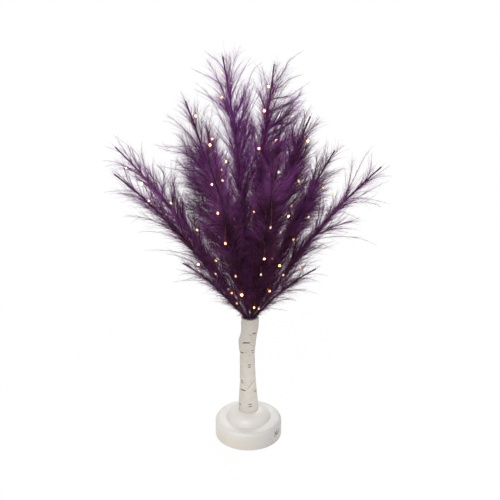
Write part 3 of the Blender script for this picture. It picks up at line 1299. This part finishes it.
class LAMP_OT_plumes(bpy.types.Operator):
    """Grow the fourteen plumes on their stems"""
    bl_idname = "lamp.plumes"
    bl_label = "Plumes"

    def execute(self, context):
        settings = context.scene.lamp_plumes
        finish = fibre_finish(settings)
        tree = fluff_tree()
        for order, name in enumerate(PLUMES):
            stem = Stem(name)
            guide = PlumeGuide(stem, settings, random.Random(settings.seed * LINE_SEED_STEP + order)).mesh()
            mesh = baked(guide, tree, {
                "Hair Spacing": settings.hair_spacing, "Hair Girth": settings.hair_girth,
                "Shaft Radius": settings.shaft_radius, "Short Hair": settings.short_hair, "Tone": stem.tone,
                "Seed": settings.seed + TREE_SEED_STEP * order, "Finish": finish})
            add_piece("plumage_" + name, mesh, "plume_fibre", body_of_plume(name), "plume_" + name)
        return {"FINISHED"}


def light_route(stem):
    """The light string's corners, and which of them carry a drop."""
    side = math.copysign(1, stem.lights[0])
    beads = []
    for light in stem.lights:
        surface = stem.half_width * looked_up(OUTLINE_SHARES, abs(light)) - BEAD_DIAMETER / 2
        beads.append((stem.length * abs(light), side * max(surface, WIRE_BESIDE + BEAD_DIAMETER), 1.0))
    route = [(LIGHT_START, side * WIRE_BESIDE, 0.0), beads[0]]
    for (along, _, _), bead in zip(beads, beads[1:]):
        route.append(((along + bead[0]) / 2, side * WIRE_BESIDE, 0.0))
        route.append(bead)
    return route


class LAMP_OT_lights(bpy.types.Operator):
    """String the small lights along the plumes"""
    bl_idname = "lamp.lights"
    bl_label = "Lights"

    def execute(self, context):
        settings = context.scene.lamp_lights
        wire = moulded_finish("copper_wire")
        drop = drop_finish(settings)
        tree = string_tree()
        for order, name in enumerate(PLUMES):
            stem = Stem(name)
            route = light_route(stem)
            points = smooth_line([stem.place(along, off) for along, off, _ in route], WIRE_STEPS)
            lamps = [0.0] * len(points)
            for place, (_, _, lit) in enumerate(route):
                lamps[place * WIRE_STEPS] = lit
            guide = guide_mesh("string_" + name, [points], lamp=lamps)
            mesh = baked(guide, tree, {
                "Wire Radius": settings.wire_radius, "Drop Radius": settings.drop_radius,
                "Drop Length": settings.drop_length, "Seed": settings.seed + TREE_SEED_STEP * order,
                "Wire Finish": wire, "Drop Finish": drop})
            add_piece("string_" + name, mesh, "light_wire", body_of_plume(name), "lights_" + name)
        return {"FINISHED"}


def node_tree_of_faces(node):
    """A search tree of a frame node's faces."""
    mesh = frame["nodes"][node].data
    return BVHTree.FromPolygons([v.co for v in mesh.vertices], [list(p.vertices) for p in mesh.polygons])


def outward(turn):
    """The level direction at a turn round the trunk."""
    return Vector((math.cos(turn), math.sin(turn), 0))


def felt(faces, pixel):
    """Where the line of sight through a pixel meets faces, and how far off."""
    place, _, _, distance = faces.ray_cast(CAMERA_PLACE, sight(pixel).normalized())
    return place, distance


class Bark:
    """The bark's relief and its dark marks, as functions of a place on the trunk."""

    def __init__(self, faces, settings):
        self.settings = settings
        low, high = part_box("trunk")
        self.top = high.z
        self.marks = self.seen_marks(faces) + self.hidden_marks(faces, low.z, high.z)
        start, end = (Vector(pixel) for pixel in CREASE)
        line = [start.lerp(end, step / CREASE_STEPS) for step in range(CREASE_STEPS + 1)]
        places = [felt(faces, pixel)[0] for pixel in line]
        self.crease = [place for place in places if place is not None]

    def seen_marks(self, faces):
        """The marks of the photograph, each with its place, half width and strength."""
        marks = []
        for x, y, half, strength in MARKS:
            place, distance = felt(faces, (x, y))
            if place is not None:
                marks.append((place, MARK_STRETCH * half * distance / FOCAL_PIXELS, strength))
        if len(marks) < len(MARKS) - MARKS_LOST:
            raise RuntimeError("the bark's marks miss the trunk")
        return marks

    def hidden_marks(self, faces, bottom, top):
        """Marks by chance round the back."""
        rng = random.Random(HIDDEN_SEED)
        marks = []
        for _ in range(HIDDEN_MARKS):
            aim = outward(rng.uniform(*HIDDEN_TURNS) * math.pi)
            height = rng.uniform(bottom + HIDDEN_INSETS[0], top - HIDDEN_INSETS[1])
            place = faces.ray_cast(aim * RAY_START + UP * height, -aim)[0]
            marks.append((place, rng.uniform(*HIDDEN_HALVES), rng.choice(HIDDEN_STRENGTHS)))
        return marks

    def mark_at(self, place):
        """How strongly a place is marked, from 0 to 1."""
        most = 0.0
        for middle, half, strength in self.marks:
            lift = (place.z - middle.z) / self.settings.mark_height
            if abs(lift) < MARK_RISE:
                aside = (place.xy - middle.xy).length / half
                if aside < MARK_ASIDE:
                    kept = max(0.0, 1 - max(0.0, aside - MARK_FULL) / MARK_FADE)
                    most = max(most, strength * math.exp(-lift * lift) * kept)
        return most

    def crease_at(self, place):
        """How deep a place lies in the slanting crease, from 0 to 1."""
        gap = min((place - spot).length for spot in self.crease)
        return math.exp(-(gap / self.settings.crease_width) ** 2)

    def rise_at(self, place, turn):
        """How far the bark stands off the smooth trunk at a place."""
        settings = self.settings
        lump = noise.noise(place * LUMPS) * settings.relief
        level, upright = BANDS
        band = noise.noise(Vector((place.x * level, place.y * level, place.z * upright)))
        band = band * settings.relief * BAND_SHARE
        near_top = max(0.0, 1 - (self.top - place.z) / FOLD_REACH)
        fold = noise.noise(Vector((turn * FOLDS_ROUND, FOLD_ROW, place.z * FOLDS_UP))) * FOLD_DEPTH * near_top
        dent = self.mark_at(place) * settings.mark_depth
        cut = self.crease_at(place) * settings.crease_depth
        return lump + band + fold - dent - cut


def trunk_rows(faces, settings, low, high):
    """The smooth trunk: each row's middle, and the turn, direction, radius and spot of its points."""
    rows = []
    for row in range(settings.rows + 1):
        height = low.z + END_ROOM + (high.z - low.z - 2 * END_ROOM) * row / settings.rows
        right = faces.ray_cast(Vector((RAY_START, 0, height)), Vector((-1, 0, 0)))[0]
        left = faces.ray_cast(Vector((-RAY_START, 0, height)), Vector((1, 0, 0)))[0]
        middle = Vector(((right.x + left.x) / 2, 0, height))
        loop = []
        for column in range(settings.columns):
            turn = 2 * math.pi * column / settings.columns
            aim = outward(turn)
            spot = faces.ray_cast(middle + aim * RING_RAY_START, -aim)[0]
            loop.append((turn, aim, (spot - middle).length, spot))
        rows.append((middle, loop))
    return rows


def hollow_rings(rows, low, high):
    """The rings of the tube's inside, from the mouth down to the bore for the leads."""
    holder_low, holder_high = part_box("stem_holder")
    mouth_x = ((holder_low + holder_high) / 2).x
    mouth_radius = (holder_high.x - holder_low.x) / 2 + HOLDER_ROOM
    floor_height = low.z + TRUNK_FLOOR
    aims = [aim for _, aim, _, _ in rows[-1][1]]

    def round_ring(x, height, radius):
        return [Vector((x, 0, height)) + aim * radius for aim in aims]

    rings = [round_ring(mouth_x, high.z, mouth_radius),
             round_ring(mouth_x, holder_low.z - HOLDER_ROOM, mouth_radius)]
    hollow = [row for row in rows if floor_height < row[0].z < holder_low.z - MM]
    for middle, loop in hollow[::-HOLLOW_SKIP]:
        rings.append([middle + aim * (radius - TRUNK_WALL) for _, aim, radius, _ in loop])
    lowest_radius = rows[0][1][0][2]
    rings.append(round_ring(0, floor_height, lowest_radius - TRUNK_WALL))
    rings.append(round_ring(0, floor_height, LEAD_BORE))
    rings.append(round_ring(0, low.z, LEAD_BORE))
    return rings


def closed_faces(ring_count, columns):
    """The faces between rings of points, where the last ring meets the first again."""
    quads = []
    for row in range(ring_count):
        here = row * columns
        above = (row + 1) % ring_count * columns
        for column in range(columns):
            beside = (column + 1) % columns
            quads.append((here + column, here + beside, above + beside, above + column))
    return quads


def trunk_mesh(settings):
    """The bark tube: raised and marked outside, with a rim, a mouth for the holder and a hollow."""
    faces = node_tree_of_faces("trunk")
    bark = Bark(faces, settings)
    low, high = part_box("trunk")
    rows = trunk_rows(faces, settings, low, high)
    rings = []
    marks = []
    for middle, loop in rows:
        rings.append([middle + aim * (radius + bark.rise_at(spot, turn)) for turn, aim, radius, spot in loop])
        marks += [max(bark.mark_at(spot), CREASE_TINT * bark.crease_at(spot)) for _, _, _, spot in loop]
    inside = hollow_rings(rows, low, high)
    rings += inside
    marks += [0.0] * (len(inside) * settings.columns)
    mesh = bpy.data.meshes.new("bark")
    quads = closed_faces(len(rings), settings.columns)
    mesh.from_pydata([point for loop in rings for point in loop], [], quads)
    mesh.attributes.new("mark", "FLOAT", "POINT").data.foreach_set("value", marks)
    mesh.shade_smooth()
    return mesh


class LAMP_OT_trunk(bpy.types.Operator):
    """Wrap the trunk in birch bark"""
    bl_idname = "lamp.trunk"
    bl_label = "Trunk"

    def execute(self, context):
        settings = context.scene.lamp_trunk
        mesh = trunk_mesh(settings)
        mesh.materials.append(bark_finish(settings))
        add_piece("bark", mesh, "birch_bark", "root", "trunk")
        return {"FINISHED"}


def fitting_finishes(base):
    """The finish of each carried-over node."""
    finishes = dict.fromkeys(BASE_NODES, base)
    finishes["batteries"] = sleeve_finish()
    for name, nodes in FITTINGS.items():
        finishes.update(dict.fromkeys(nodes, moulded_finish(name)))
    return finishes


class LAMP_OT_fittings(bpy.types.Operator):
    """Finish the base and what it holds"""
    bl_idname = "lamp.fittings"
    bl_label = "Base and fittings"

    def execute(self, context):
        finishes = fitting_finishes(base_finish(context.scene.lamp_base))
        for node, finish in finishes.items():
            carried = frame["nodes"][node]
            if not carried.material_slots:
                carried.data.materials.append(finish)
            for slot in carried.material_slots:
                slot.material = finish
        return {"FINISHED"}


class LAMP_OT_springs(bpy.types.Operator):
    """Wind the battery springs"""
    bl_idname = "lamp.springs"
    bl_label = "Springs"

    def execute(self, context):
        sleeves = frame["nodes"]["battery_springs"].data
        low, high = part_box("battery_springs")
        across = (high.x - low.x - (high.z - low.z)) / 2
        depths = [vertex.co.y for vertex in sleeves.vertices if vertex.co.x > high.x - MM]
        starts_low = min(depths) - low.y < MM
        outer_end, other_end = (low.y, high.y) if starts_low else (high.y, low.y)
        way = 1.0 if starts_low else -1.0
        level = (low.z + high.z) / 2
        middle_x = (high.x + low.x) / 2
        points = []
        facing = []
        for place, end, into in ((-across, outer_end, way), (0.0, other_end, -way), (across, outer_end, way)):
            points.append([Vector((middle_x + place, end + into * SPRING_INSET, level))])
            facing.append(-into)
        mesh = baked(guide_mesh("coils", points, facing=facing), coil_tree(), {
            "Wire Radius": SPRING_WIRE, "Coil Radius": (high.z - low.z) / 2 - SPRING_WIRE,
            "Turns": SPRING_TURNS, "Length": max(depths) - min(depths) - 2 * SPRING_INSET,
            "Finish": moulded_finish("spring_steel")})
        add_piece("coils", mesh, "bright_steel", "root", "battery_springs")
        return {"FINISHED"}


def soft_lamp(name, place, aim, size, power):
    """A square soft lamp that looks at a point."""
    data = bpy.data.lights.new(name, "AREA")
    data.size = size
    data.energy = power
    lamp = placed(name, data)
    lamp.location = place
    lamp.rotation_euler = (Vector(aim) - Vector(place)).to_track_quat("-Z", "Y").to_euler()


def add_floor(cover):
    """The wide floor that the lamp stands on."""
    data = bpy.data.meshes.new("floor")
    corners = [(x * FLOOR_REACH, y * FLOOR_REACH, 0) for x, y in ((-1, -1), (1, -1), (1, 1), (-1, 1))]
    data.from_pydata(corners, [], [(0, 1, 2, 3)])
    data.materials.append(stage_finish(cover))
    floor = placed("floor", data)


def white_world(sky):
    """Even light from all round, and plain white behind the lamp."""
    world = bpy.data.worlds.new("studio")
    world.use_nodes = True
    tree = world.node_tree
    background = tree.nodes["Background"]
    background.inputs["Color"].default_value = opaque((1.0, 1.0, 1.0))
    feed(tree, background, Strength=mapped(tree, seen_directly(tree), 0.0, 1.0, sky, 1.0))
    return world


def photo_camera():
    """The camera that takes the photograph's view."""
    data = bpy.data.cameras.new("view")
    data.sensor_width = SENSOR_WIDTH
    data.lens = FOCAL_PIXELS / FRAME_SIDE * SENSOR_WIDTH
    camera = placed("view", data)
    camera.location = CAMERA_PLACE
    camera.rotation_euler = (math.pi / 2 - CAMERA_PITCH, 0, 0)
    return camera


class LAMP_OT_stage(bpy.types.Operator):
    """Set the floor, the soft lamps and the camera"""
    bl_idname = "lamp.stage"
    bl_label = "Stage"

    def execute(self, context):
        scene = context.scene
        settings = scene.lamp_stage
        add_floor(settings.cover)
        for name, (place, height, side) in STAGE_LAMPS.items():
            soft_lamp(name, place, UP * height, side, getattr(settings, name))
        scene.world = white_world(settings.sky)
        scene.camera = photo_camera()
        scene.view_settings.view_transform = "Standard"
        return {"FINISHED"}


class LAMP_PT_panel(bpy.types.Panel):
    """The lamp's pieces and their settings"""
    bl_label = "Feather lamp"
    bl_idname = "LAMP_PT_panel"
    bl_space_type = "VIEW_3D"
    bl_region_type = "UI"
    bl_category = "Feather lamp"

    def draw(self, context):
        for operator in OPERATORS:
            self.layout.operator(operator.bl_idname)
        for holder in SETTINGS:
            group = getattr(context.scene, holder)
            for name in group.__annotations__:
                self.layout.prop(group, name)


SETTINGS = {
    "lamp_plumes": PlumeSettings,
    "lamp_lights": LightSettings,
    "lamp_trunk": TrunkSettings,
    "lamp_base": BaseSettings,
    "lamp_stage": StageSettings,
}
OPERATORS = (LAMP_OT_stage, LAMP_OT_fittings, LAMP_OT_springs, LAMP_OT_trunk, LAMP_OT_plumes, LAMP_OT_lights)


def register():
    for holder, group in SETTINGS.items():
        bpy.utils.register_class(group)
        setattr(bpy.types.Scene, holder, bpy.props.PointerProperty(type=group))
    for operator in OPERATORS:
        bpy.utils.register_class(operator)
    bpy.utils.register_class(LAMP_PT_panel)


def unregister():
    bpy.utils.unregister_class(LAMP_PT_panel)
    for operator in reversed(OPERATORS):
        bpy.utils.unregister_class(operator)
    for holder, group in SETTINGS.items():
        delattr(bpy.types.Scene, holder)
        bpy.utils.unregister_class(group)


def main():
    register()
    bpy.ops.lamp.stage()
    bpy.ops.lamp.fittings()
    bpy.ops.lamp.springs()
    bpy.ops.lamp.trunk()
    bpy.ops.lamp.plumes()
    bpy.ops.lamp.lights()


if __name__ == "__main__":
    main()
